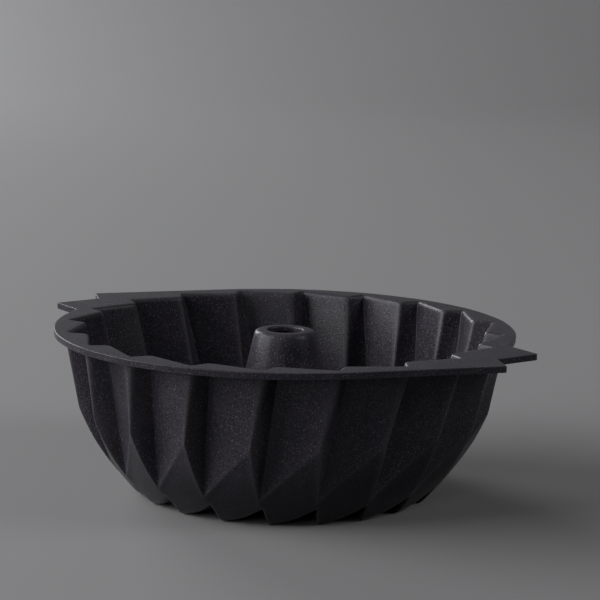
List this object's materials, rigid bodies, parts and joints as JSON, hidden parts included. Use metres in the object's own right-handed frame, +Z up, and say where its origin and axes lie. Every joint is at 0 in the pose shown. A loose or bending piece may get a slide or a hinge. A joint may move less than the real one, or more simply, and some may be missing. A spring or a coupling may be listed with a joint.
{
  "type": "round cake pan",
  "caption": "Heavy cast ring cake pan: leaning flutes that end in kite facets, a pleated floor, a hollow centre tube, and a flat rim with toothed lug handles in its plane.",
  "frame": {"origin": "on the table that the feet stand on, under the axis of the centre tube", "axes": "+Z up along the tube's axis, +X between the two teeth of the right handle, the one that is nearer in the picture"},
  "size_m": [0.3026, 0.26, 0.093],
  "materials": {
    "coated_casting": "satin black non-stick coating with fine bright speckles over a cast aluminium wall"
  },
  "bodies": {
    "root": {"fluted_wall": "coated_casting", "kite_band": "coated_casting", "pleated_floor": "coated_casting", "tube_flare": "coated_casting", "centre_tube": "coated_casting", "rim_flange": "coated_casting", "right_handle": "coated_casting", "left_handle": "coated_casting"}
  },
  "joints": []
}
